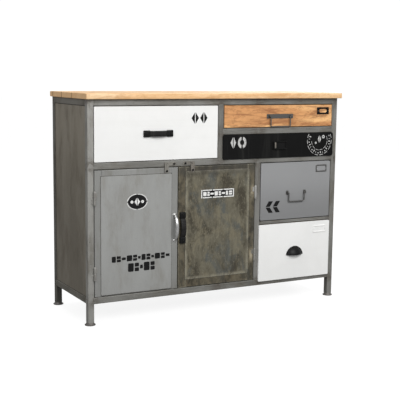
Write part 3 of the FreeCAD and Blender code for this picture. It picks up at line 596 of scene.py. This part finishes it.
def welds():
    """Beads where the tubes meet, at the front, at the rear and on both sides."""
    bottom, mid, top, divider = RAILS
    legs_in = (low("front_legs").x + TUBE, high("front_legs").x - TUBE)
    upper_x = low("front_mullions").x
    lower_x = high("front_mullions").x - TUBE
    forward = Vector((0, -1, 0))
    keep = 3.2 * MM

    def upright(x, y, z, out):
        return Vector((x, y, z + keep)), Vector((x, y, z + TUBE - keep)), out

    def level(x, z):
        return Vector((x + keep, FRONT, z)), Vector((x + TUBE - keep, FRONT, z)), forward

    corners = [(x, z) for x in legs_in for z in (bottom, mid, top)]
    front = [upright(x, FRONT, z, forward) for x, z in corners]
    front += [level(upper_x, mid + TUBE), level(upper_x, top), level(lower_x, bottom + TUBE),
              level(lower_x, mid)]
    front += [upright(x, FRONT, divider, forward) for x in (upper_x + TUBE, legs_in[1])]
    rear = [upright(x, high("rear_rails").y, z, -forward) for x, z in corners]
    side = [upright(x, y, z, Vector((way, 0, 0)))
            for way, x in ((-1, low("front_legs").x), (1, high("front_legs").x))
            for y in (FRONT + TUBE, low("rear_legs").y) for z in (bottom, top)]
    for name, lines in (("front_welds", front), ("rear_welds", rear), ("side_welds", side)):
        piece(name, *join(*(bead(*line) for line in lines)), "cabinet", "frame_steel", crease=60)


# ---------------------------------------------------------------- painted gap shadows
def gap_shadow_line(x, z, half_x, half_z, inner, outer, face):
    """A line of painted shadow that runs round a rounded rectangle on a face."""
    outside = (half_x + outer, half_z + outer, 2 * MM)
    inside = (half_x - inner, half_z - inner, 1 * MM)
    stand = face - 0.12 * MM
    return loft(x, z, [(*outside, stand), (*inside, stand), (*inside, face + SINK),
                       (*outside, face + SINK)], closed=True)


def gap_shadow_lines():
    """Painted shadow lines in the gaps round the doors' raised sheets and round the side panels."""
    for door, slot in (("left_door", "grey_door_steel"), ("right_door", "rusty_steel")):
        centre = middle(door + "_sheet")
        half = half_size(door + "_sheet")
        ring = gap_shadow_line(centre.x, centre.z, half.x, half.z, 0.2 * MM, 1.6 * MM,
                    low(door + "_frame").y)
        piece(door + "_seam", *ring, door, slot, "seam_dark")
    y0, y1 = FRONT + TUBE, low("rear_legs").y
    z0, z1 = low("side_rails").z + TUBE, high("side_rails").z - TUBE
    verts, faces = gap_shadow_line(0, (z0 + z1) / 2, (y1 - y0) / 2, (z1 - z0) / 2, 2.0 * MM, 0.2 * MM, 0)
    for side, way, x in (("left", 1, low("side_panels").x), ("right", -1, high("side_panels").x)):
        turned = [Vector((x + way * v.y, (y0 + y1) / 2 + v.x, v.z)) for v in verts]
        piece(side + "_side_seam", turned, faces, "cabinet", "sheet_steel", "seam_dark")


# ---------------------------------------------------------------- handles
def strap_handle(name, body, node, upright):
    """A trunk handle: square end caps with screws, and a ribbed strap arched between them."""
    half, cap, reach = 63.5 * MM, 26 * MM, 18.3 * MM
    arch = half - cap
    turn = Matrix.Rotation(math.radians(90), 4, "Y") if upright else Matrix.Identity(4)
    place = Matrix.Translation(Vector((middle(node).x, 0, middle(node).z))) @ turn
    caps = []
    screws = []
    for way in (-1, 1):
        x = way * (half - cap / 2)
        caps.append(loft(x, 0, [(cap / 2 - cut * MM, cap / 2 - cut * MM, 2.5 * MM, FRONT - out * MM)
                                for cut, out in ((0, 0), (0, 5.5), (0.7, 7.4), (2.2, 8.6),
                                                 (4.5, 9.0))]))
        screws.append(screw(x + way * 2 * MM, 0, FRONT - 8.9 * MM, 3.2 * MM))

    def section(share):
        swell = 0.3 * MM * math.sin(math.pi * share)
        rib = 0.28 * MM * math.cos(share * math.tau * 13) if 0.08 < share < 0.92 else 0.0
        tall = 11.1 * MM + swell + rib
        thick = 2.9 * MM + swell + rib
        return [(tall * math.copysign(abs(a) ** 0.45, a), thick * math.copysign(abs(b) ** 0.7, b))
                for a, b in oval(1, 1, 28)]

    path = []
    for i in range(105):
        x = (2 * i / 104 - 1) * (arch + 3 * MM)
        bow = max(0.0, 1 - (x / arch) ** 2) ** 0.75
        path.append(Vector((x, FRONT - 4.4 * MM - (reach - 8.2 * MM) * bow, 0)))
    strap = sweep(path, Vector((0, 0, 1)), section)
    for label, shape, slot, nodes in (
            ("caps", join(*caps), "black_fitting", (node + "_caps",)),
            ("strap", strap, "black_strap", (node,)),
            ("screws", join(*screws), "black_fitting", ())):
        verts, faces = shape
        piece(name + "_" + label, [place @ v for v in verts], faces, body, slot, crease=50,
              replaces=nodes)


def bow_handle():
    """A polished bow with a flat oval foot at each end."""
    centre = middle("left_bow_handle")
    half = half_size("left_bow_handle").z - 7 * MM
    reach = FRONT - low("left_bow_handle").y
    path = []
    for i in range(61):
        way = 2 * i / 60 - 1
        bow = (1 - abs(way) ** 2.6) ** 0.8
        path.append(Vector((centre.x, FRONT - 2.2 * MM - (reach - 6.0 * MM) * bow,
                            centre.z + way * half)))

    def section(share):
        swell = math.sin(math.pi * share) ** 0.6 if 0 < share < 1 else 0.0
        return oval((4.0 + 2.7 * swell) * MM, (2.8 + 0.4 * swell) * MM, 20)

    feet = [loft(centre.x, centre.z + way * half,
                 [(wide * MM, tall * MM, corner * MM, FRONT - out * MM)
                  for wide, tall, corner, out in (
                      (8.2, 6.4, 6.4, 0.0), (8.2, 6.4, 6.4, 1.0), (7.6, 5.8, 5.8, 2.0),
                      (5.4, 4.4, 4.4, 3.2), (4.0, 3.4, 3.4, 5.2))])
            for way in (-1, 1)]
    piece("bow_handle_rod", *join(sweep(path, Vector((1, 0, 0)), section), *feet), "left_door",
          "chrome", crease=60, replaces=("left_bow_handle",))


def wire_path(corners, bends, steps=10):
    """Points along straight runs. Each inner corner is rounded by its own bend radius."""
    path = [corners[0]]
    for k, bend in enumerate(bends):
        corner = corners[k + 1]
        back = (corners[k] - corner).normalized()
        ahead = (corners[k + 2] - corner).normalized()
        half = back.angle(ahead) / 2
        centre = corner + (back + ahead).normalized() * (bend / math.sin(half))
        first = corner + back * (bend / math.tan(half)) - centre
        last = corner + ahead * (bend / math.tan(half)) - centre
        path += [centre + first.slerp(last, i / steps) * bend for i in range(steps + 1)]
    path.append(corners[-1])
    return path


def bail(name, node, body, bend):
    """A wire loop whose two ends turn outwards into the eyes."""
    lo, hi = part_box(node)
    wire = half_size(node).y
    top, bottom = hi.z - wire, lo.z + wire
    left, right = lo.x + 8 * MM, hi.x - 8 * MM
    corners = [Vector((x, middle(node).y, z)) for x, z in (
        (lo.x, top), (left, top), (left, bottom), (right, bottom), (right, top), (hi.x, top))]
    path = wire_path(corners, (wire * 1.05, bend, bend, wire * 1.05))
    shape = sweep(path, Vector((0, 1, 0)), lambda share: oval(wire, wire, 16))
    piece(name, *shape, body, "gunmetal", crease=50, replaces=(node,))


def cup_pull():
    """A half-dome pull with a flat flange and a rolled lip."""
    lo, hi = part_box("low_cup_pull")
    radius, outer, wall = 44 * MM, 41 * MM, 1.8 * MM
    x = middle("low_cup_pull").x
    z = hi.z - radius
    face = hi.y
    deep = face - lo.y
    turns = 72

    def dome(rim, depth, steps=16):
        ball = (rim ** 2 + depth ** 2) / (2 * depth)
        widest = math.asin(rim / ball)
        return [(ball * math.sin(widest * i / steps),
                 depth - ball * (1 - math.cos(widest * i / steps))) for i in range(1, steps)]

    profile = dome(outer, deep)
    profile += [(outer - 0.5 * MM, 2.6 * MM), (outer + 0.6 * MM, 1.7 * MM),
                (radius - 0.6 * MM, 1.5 * MM), (radius, 0.9 * MM), (radius, 0.0),
                (outer - wall, 0.0)]
    profile += reversed(dome(outer - wall, deep - wall))
    shape = bmesh.new()
    rings = [[shape.verts.new((x + a, face - out, z + b)) for a, b in oval(wide, wide, turns)]
             for wide, out in profile]
    crown = shape.verts.new((x, face - deep, z))
    inside = shape.verts.new((x, face - deep + wall, z))
    for k in range(turns):
        j = (k + 1) % turns
        shape.faces.new((crown, rings[0][k], rings[0][j]))
        shape.faces.new((inside, rings[-1][k], rings[-1][j]))
        for a, b in zip(rings, rings[1:]):
            shape.faces.new((a[k], a[j], b[j], b[k]))
    everything = shape.verts[:] + shape.edges[:] + shape.faces[:]
    done = bmesh.ops.bisect_plane(shape, geom=everything, dist=1e-7, plane_co=(0, 0, z + 6 * MM),
                                  plane_no=(0, 0, -1), clear_outer=True)
    rim = [e for e in done["geom_cut"] if isinstance(e, bmesh.types.BMEdge)]
    bmesh.ops.contextual_create(shape, geom=rim)
    bmesh.ops.triangulate(shape, faces=[f for f in shape.faces if len(f.verts) > 4])
    shape.verts.index_update()
    verts = [v.co.copy() for v in shape.verts]
    faces = [tuple(v.index for v in f.verts) for f in shape.faces]
    shape.free()
    piece("cup_pull_shell", verts, faces, "low_drawer", "black_fitting", crease=40,
          replaces=("low_cup_pull",))


# ---------------------------------------------------------------- label holders
def label_holder(node, body, slot, rim, window_corner, card):
    """A pressed frame with a rounded window, a card behind it and small screws."""
    face = high(node).y
    proud = face - low(node).y
    x, z = middle(node).x, middle(node).z
    a, b = half_size(node).x, half_size(node).z
    side, edge = rim
    loops = [(a, b, 2.5 * MM, face), (a, b, 2.5 * MM, face - 0.55 * proud),
             (a - 0.8 * MM, b - 0.8 * MM, 2.2 * MM, face - 0.85 * proud),
             (a - 2.0 * MM, b - 2.0 * MM, 2.0 * MM, face - proud),
             (a - side + 1.2 * MM, b - edge + 1.2 * MM, window_corner, face - proud),
             (a - side, b - edge, window_corner, face - 0.7 * proud),
             (a - side, b - edge, window_corner, face)]
    piece(node + "_rim", *loft(x, z, loops, closed=True), body, slot, crease=40,
          replaces=(node,))
    backing = [(a - side + 0.3 * MM, b - edge + 0.3 * MM, window_corner, y)
               for y in (face + SINK, face - 0.5 * MM)]
    piece(node + "_card", *loft(x, z, backing), body, card, crease=40)
    heads = [screw(x + way * (a - 4.2 * MM), z, face - proud + 0.1 * MM, 1.5 * MM)
             for way in (-1, 1)]
    piece(node + "_screws", *join(*heads), body, "zinc_steel", crease=50)


def card_pull():
    """The black drawer's deep card frame: walls round a recess, with a pale strip in it that is
    a painted highlight on the recess's inner wall.
    """
    lo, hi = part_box("black_card_pull")
    z = middle("black_card_pull").z
    a, b = half_size("black_card_pull").x, half_size("black_card_pull").z
    frame_loops = [(a - cut * MM, b - cut * MM, corner * MM, hi.y - out * MM)
                   for cut, corner, out in (
                       (0.0, 2.0, 0.0), (0.0, 2.0, 4.5), (0.5, 2.0, 7.2), (1.5, 2.0, 8.7),
                       (2.4, 1.8, 9.0), (3.6, 1.6, 8.4), (4.6, 1.4, 5.0), (4.8, 1.4, 3.2))]
    piece("card_pull_frame", *loft(middle("black_card_pull").x, z, frame_loops), "black_drawer",
          "black_paint", "black_fitting", crease=50, replaces=("black_card_pull",))
    # painted highlight: a pale strip on the recess's inner wall, where light falls on it
    wall_loops = [(wide * MM, b - cut * MM, corner * MM, hi.y - out * MM)
                  for wide, cut, corner, out in (
                      (3.6, 5.4, 1.5, 3.0), (3.6, 5.4, 1.5, 6.6), (2.4, 6.8, 1.2, 7.6))]
    piece("card_pull_painted_lit_wall", *loft(lo.x + 10 * MM, z, wall_loops), "black_drawer",
          "black_paint", "latch_steel", crease=50)


# ---------------------------------------------------------------- latches and hinges
def latch_details():
    """Dark domed heads: on each latch's pivot, and on the stud beside each keeper."""
    level = middle("latch_keepers").z
    for side, inward in (("left", 1), ("right", -1)):
        tab = side + "_latch_tab"
        pivot = screw(middle(tab).x, level - 28 * MM, low(tab).y - 2.4 * MM, 4.4 * MM)
        piece(side + "_latch_pivot_head", *pivot, side + "_door", "black_fitting", crease=50)
        stud = screw(middle(tab).x + inward * 33 * MM, level, FRONT - 4.9 * MM, 4.4 * MM)
        piece(side + "_keeper_stud_head", *stud, "cabinet", "black_fitting", crease=50)


def half_ball(x, y, z, way):
    """The rounded end of a hinge barrel."""
    rings = []
    for k in range(7):
        lift = math.radians(90 * k / 6)
        wide = 4.6 * MM * math.cos(lift) + 0.01 * MM
        rings.append([Vector((x + a, y + b, z + way * 4.2 * MM * math.sin(lift)))
                      for a, b in oval(wide, wide, 16)])
    return wrap(rings)


def hinge_details():
    """Rounded ends on the barrels. The lower ones stay, the upper ones turn with the doors."""
    y = low("hinge_frame_knuckles").y + 5 * MM
    columns = {"left_door": low("hinge_pins").x + 2.5 * MM,
               "right_door": high("hinge_pins").x - 2.5 * MM}

    def ends(door, way):
        return [half_ball(columns[door], y, z + way * 25 * MM, way) for z in HINGE_LEVELS[door]]

    lower = [ball for door in columns for ball in ends(door, -1)]
    piece("hinge_ball_ends_lower", *join(*lower), "cabinet", "hinge_steel", crease=50)
    for door in columns:
        piece(door + "_hinge_ball_ends", *join(*ends(door, 1)), door, "hinge_steel", crease=50)


# ---------------------------------------------------------------- markings
# Plain stencil shapes: diamonds, bars, rings and ticks, with no letters or words.
def slab(x0, x1, z0, z1, face):
    """A stencilled bar with slightly cut corners."""
    cut = min(x1 - x0, z1 - z0) * 0.12
    return plate([(x0 + cut, z0), (x1 - cut, z0), (x1, z0 + cut), (x1, z1 - cut),
                  (x1 - cut, z1), (x0 + cut, z1), (x0, z1 - cut), (x0, z0 + cut)], face)


def split_diamond(x, z, wide, tall, face, gap):
    """A diamond in two halves, with the bridge that a stencil leaves between them."""
    return join(*(plate([(x + gap / 2 * way, z - tall * 0.94), (x + wide * way, z),
                         (x + gap / 2 * way, z + tall * 0.94)], face) for way in (-1, 1)))


def stencil_row(x0, x1, z0, z1, face, pattern, gap):
    """A row of plain stencilled blocks. pattern gives the widths, as shares of the row."""
    blocks = []
    unit = (x1 - x0 - gap * (len(pattern) - 1)) / sum(pattern)
    tall = z1 - z0
    x = x0
    for k, share in enumerate(pattern):
        end = x + unit * share
        for foot, head in (((0.0, 1.0),), ((0.0, 0.45), (0.55, 1.0)), ((0.28, 0.72),))[k % 3]:
            blocks.append(slab(x, end, z0 + tall * foot, z0 + tall * head, face))
        x = end + gap
    return join(*blocks)


def wide_drawer_marks():
    """Two diamonds near the top right corner."""
    corner = high("wide_drawer_front")
    pair = [split_diamond(corner.x - x * MM, corner.z - 49 * MM, 16.5 * MM, 24.5 * MM, FRONT,
                          3.4 * MM) for x in (104, 65)]
    piece("wide_drawer_stencil", *join(*pair), "wide_drawer", "black_paint", "ink_black")


def black_drawer_marks():
    """A diamond and a split ring, and a worn round stamp of broken rings, ticks and dots."""
    lo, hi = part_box("black_drawer_front")
    x, z = lo.x + 90 * MM, lo.z + 69 * MM
    shapes = [band(x + way * 2.2 * MM, z, 8 * MM, 18 * MM, start, end, BLACK_FACE, 1.3)
              for way, start, end in ((1, -84, 84), (-1, 96, 264))]
    shapes.append(split_diamond(x - 42 * MM, z, 13 * MM, 25 * MM, BLACK_FACE, 3.5 * MM))
    piece("black_drawer_stencil", *join(*shapes), "black_drawer", "white_paint", "ink_grey")

    x, z = hi.x - 72 * MM, lo.z + 68 * MM
    arcs = [(61.6, 63.8, start + 2, start + 19) for start in range(150, 391, 24)]
    arcs += [(40, 41.8, start + 3, start + 25) for start in range(180, 361, 30)]
    for k, start in enumerate(range(158, 386, 13)):
        size, short = ((4.6, 0), (2.2, 2.5), (5.4, 5))[k % 3]
        arcs.append((46.5 + short, 56, start, start + size))
    stamp = [band(x, z, inner * MM, outer * MM, start, end, BLACK_FACE)
             for inner, outer, start, end in arcs]
    stamp += [split_diamond(x, z + 6 * MM, 9 * MM, 17 * MM, BLACK_FACE, 2.5 * MM),
              band(x + 20 * MM, z + 16 * MM, 3 * MM, 7.5 * MM, 0, 359.9, BLACK_FACE),
              band(x - 19 * MM, z - 10 * MM, 0.8 * MM, 4.5 * MM, 0, 359.9, BLACK_FACE)]
    edge = 1.5 * MM
    kept = [(verts, faces) for verts, faces in stamp
            if max(v.z for v in verts) < hi.z - edge and max(v.x for v in verts) < hi.x - edge]
    piece("black_drawer_stamp", *join(*kept), "black_drawer", "white_paint", "ink_grey")


def left_door_marks():
    """An oval badge and two rows of blocks."""
    x, z = -373.5 * MM, 476 * MM
    outline = [(x + a, z + b) for a, b in oval(41 * MM, 28.5 * MM, 64)]
    piece("oval_badge_field", *plate(outline, DOOR_FACE, 0.25 * MM), "left_door", "black_paint",
          "ink_black")
    field = DOOR_FACE - 0.25 * MM
    marks = [band(x, z, 40.5 * MM, 44 * MM, start, start + 78, DOOR_FACE, 31.5 / 44, 0.45 * MM)
             for start in (6, 96, 186, 276)]
    marks.append(split_diamond(x, z, 12 * MM, 16 * MM, field, 3 * MM))
    marks += [band(x + way * 23 * MM, z, 1.2 * MM, 6.0 * MM, 0, 359.9, field)
              for way in (-1, 1)]
    piece("oval_badge_marks", *join(*marks), "left_door", "white_paint", "ink_white")
    rows = [stencil_row(-482 * MM, -231 * MM, 242 * MM, 265.5 * MM, DOOR_FACE,
                        (3, 3, 3, 4, 3, 2, 3, 3, 2, 4, 3, 3), 4 * MM),
            stencil_row(-413 * MM, -297 * MM, 199 * MM, 233 * MM, DOOR_FACE, (4, 3, 2, 4, 3),
                        4.5 * MM)]
    piece("left_door_stencil", *join(*rows), "left_door", "black_paint", "ink_black")


def right_door_marks():
    """A framed strip of blocks."""
    x0, x1, z0, z1 = -89 * MM, 64.5 * MM, 473.5 * MM, 507.5 * MM
    third = (x1 - x0) / 3
    outline = [(x0 + 4 * MM, z0 + 3 * MM), (x1 - 4 * MM, z0 + 3 * MM),
               (x1 - 4 * MM, z1 - 3 * MM), (x0 + 4 * MM, z1 - 3 * MM)]
    piece("door_plate_field", *plate(outline, DOOR_FACE, 0.25 * MM), "right_door",
          "black_paint", "ink_black")
    border = DOOR_FACE - 0.1 * MM
    bars = [slab(x0 + start * MM + k * third, x0 + (k + 1) * third - end * MM, z, z + 4.2 * MM,
                 border)
            for k, start, end in ((0, 6.5, 2.5), (1, 2.5, 2.5), (2, 2.5, 4.5))
            for z in (z0, z1 - 4.2 * MM)]
    bars += [slab(x, x + 4.5 * MM, z0, z1, border) for x in (x0, x1 - 4.5 * MM)]
    bars.append(stencil_row(x0 + 9 * MM, x1 - 9 * MM, z0 + 8.5 * MM, z1 - 8.5 * MM,
                            DOOR_FACE - 0.2 * MM, (3, 2, 3, 3, 2, 3, 2, 3), 4 * MM))
    piece("door_plate_marks", *join(*bars), "right_door", "white_paint", "ink_white")


def grey_drawer_marks():
    """Two chevrons, each in two halves."""
    arrows = [plate([(x, z), (x + 21 * MM, z), (x + 36 * MM, z + rise), (x + 15 * MM, z + rise)],
                    FRONT)
              for x in (222.5 * MM, 258.5 * MM)
              for z, rise in ((419 * MM, 23 * MM), (416 * MM, -23 * MM))]
    piece("grey_drawer_stencil", *join(*arrows), "grey_drawer", "black_paint", "ink_black")


# ---------------------------------------------------------------- stage, light, camera
def floor():
    """A plain pale floor."""
    size = 30.0
    mesh = bpy.data.meshes.new("floor")
    mesh.from_pydata([(-size, -size, 0), (size, -size, 0), (size, size, 0), (-size, size, 0)],
                     [], [(0, 1, 2, 3)])
    obj = bpy.data.objects.new("floor", mesh)
    bpy.context.scene.collection.objects.link(obj)
    r = Recipe("studio_floor")
    tone = r.mix(r.noise(0.8, EVEN, 3, 0.5), (0.23, 0.23, 0.23), (0.25, 0.25, 0.25))
    seen = r.add("ShaderNodeLightPath").outputs["Is Camera Ray"]
    r.feed(r.shader.inputs["Emission Color"], (1.0, 1.0, 1.0))
    r.feed(r.shader.inputs["Emission Strength"], r.times(seen, 0.87))
    r.finish(tone, 0.7)
    r.dull(0.1)
    mesh.materials.append(r.material)


def surround():
    """An even white surround, brighter where the camera sees it than as a light."""
    scene = bpy.context.scene
    scene.view_settings.view_transform = "Standard"
    scene.view_settings.look = "None"
    scene.world = bpy.data.worlds.new("studio")
    scene.world.use_nodes = True
    nodes = scene.world.node_tree.nodes
    links = scene.world.node_tree.links
    seen = nodes.new("ShaderNodeLightPath")
    both = nodes.new("ShaderNodeMixShader")
    links.new(seen.outputs["Is Camera Ray"], both.inputs["Fac"])
    soft, plain = nodes["Background"], nodes.new("ShaderNodeBackground")
    for slot, node, strength in ((1, soft, 0.46), (2, plain, 1.05)):
        node.inputs["Color"].default_value = (1, 1, 1, 1)
        node.inputs["Strength"].default_value = strength
        links.new(node.outputs["Background"], both.inputs[slot])
    links.new(both.outputs["Shader"], nodes["World Output"].inputs["Surface"])


def softbox(name, place, aim, width, height, power):
    light = bpy.data.lights.new(name, "AREA")
    light.shape = "RECTANGLE"
    light.size = width
    light.size_y = height
    light.energy = power
    obj = bpy.data.objects.new(name, light)
    obj.location = place
    obj.rotation_mode = "QUATERNION"
    obj.rotation_quaternion = (Vector(aim) - Vector(place)).to_track_quat("-Z", "Y")
    bpy.context.scene.collection.objects.link(obj)


def camera():
    """A long lens from the front left, a little above the middle and tipped slightly down."""
    place = Vector((-1.844, -3.416, 0.979))
    yaw, pitch, roll = (math.radians(a) for a in (28.44, 7.93, 0.64))
    ahead = Vector((math.sin(yaw) * math.cos(pitch), math.cos(yaw) * math.cos(pitch),
                    -math.sin(pitch)))
    right = Vector((math.cos(yaw), -math.sin(yaw), 0))
    up = right.cross(ahead)
    tilted = right * math.cos(roll) + up * math.sin(roll)
    upright = up * math.cos(roll) - right * math.sin(roll)
    data = bpy.data.cameras.new("camera")
    data.sensor_width = 36.0
    data.lens = 82.25
    obj = bpy.data.objects.new("camera", data)
    turn = Matrix((tilted, upright, -ahead)).transposed().to_4x4()
    obj.matrix_world = Matrix.Translation(place) @ turn
    bpy.context.scene.collection.objects.link(obj)
    bpy.context.scene.camera = obj


floor()
surround()
softbox("key", (0.2, -3.3, 2.5), (0.0, 0, 0.6), 2.4, 1.8, 97)
softbox("fill", (-3.0, -2.0, 2.2), (-0.4, 0, 0.8), 1.6, 1.4, 22)
softbox("top", (0.0, 0.4, 3.2), (0, 0, 0.9), 2.5, 2.0, 28)
softbox("back", (2.6, 2.4, 2.0), (0.3, 0, 0.5), 2.0, 1.6, 24)
camera()

top_boards()
welds()
gap_shadow_lines()
strap_handle("wide_handle", "wide_drawer", "wide_drawer_grip", False)
strap_handle("door_handle", "right_door", "right_door_grip", True)
bow_handle()
bail("wood_bail_wire", "wood_bail", "wood_bail_loop", 4 * MM)
bail("grey_bail_wire", "grey_bail", "grey_bail_loop", 8 * MM)
cup_pull()
label_holder("wood_label_holder", "wood_drawer", "black_paint", (11 * MM, 7 * MM), 8 * MM,
             "mango_wood")
label_holder("grey_label_holder", "grey_drawer", "gunmetal", (5 * MM, 5 * MM), 2 * MM,
             "grey_paint")
label_holder("low_label_holder", "low_drawer", "white_paint", (5 * MM, 5 * MM), 2 * MM,
             "white_paint")
card_pull()
latch_details()
hinge_details()
wide_drawer_marks()
black_drawer_marks()
left_door_marks()
right_door_marks()
grey_drawer_marks()
